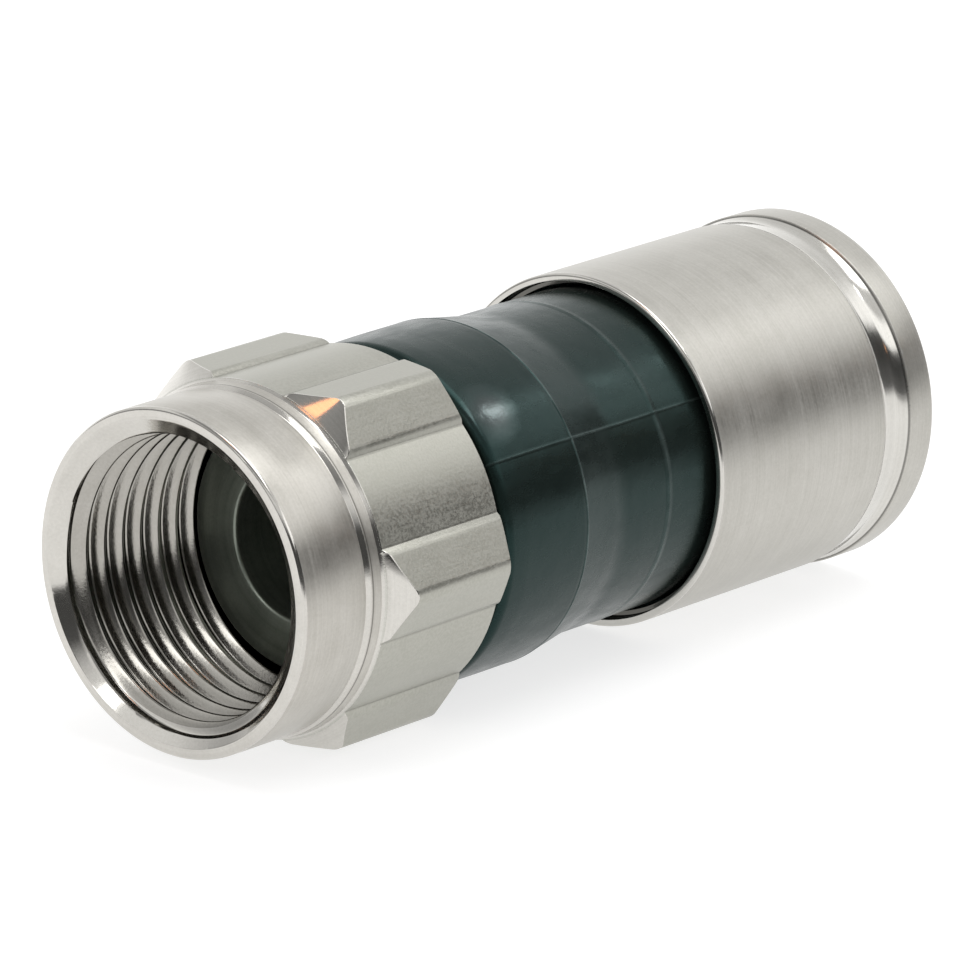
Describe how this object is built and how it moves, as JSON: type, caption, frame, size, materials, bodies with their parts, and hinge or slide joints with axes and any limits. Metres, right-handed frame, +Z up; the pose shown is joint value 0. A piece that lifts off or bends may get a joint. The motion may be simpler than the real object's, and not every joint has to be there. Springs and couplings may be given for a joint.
{
  "type": "compression f connector",
  "caption": "Coaxial cable compression connector: threaded hexagon nut on a flanged post, moulded body and a metal sleeve that slides forward.",
  "frame": {"origin": "on the connector's axis, in the front face of the post's flange, where its bore begins", "axes": "+Y along the axis from the nut towards the cable end, +Z up with the part lying on its side and the nut's flats level, +X to the right seen from the nut"},
  "size_m": [0.0126, 0.0295, 0.0116],
  "materials": {
    "nut_metal": "nickel plated, fine turned",
    "post_metal": "plated, dull",
    "body_plastic": "moulded, half gloss",
    "seal_rubber": "matt",
    "sleeve_metal": "nickel plated, fine turned"
  },
  "bodies": {
    "body": {"connector_body": "body_plastic", "inner_post": "post_metal", "nut_seal_ring": "seal_rubber"},
    "nut": {"coupling_nut": "nut_metal"},
    "sleeve": {"compression_sleeve": "sleeve_metal"}
  },
  "joints": [
    {"name": "nut_spin", "type": "hinge", "parent": "body", "child": "nut", "pos_m": [0, 0, 0], "axis": [0, 1, 0], "continuous": true},
    {"name": "sleeve_slide", "type": "slide", "parent": "body", "child": "sleeve", "axis": [0, -1, 0], "range_m": [0, 0.00465]}
  ]
}
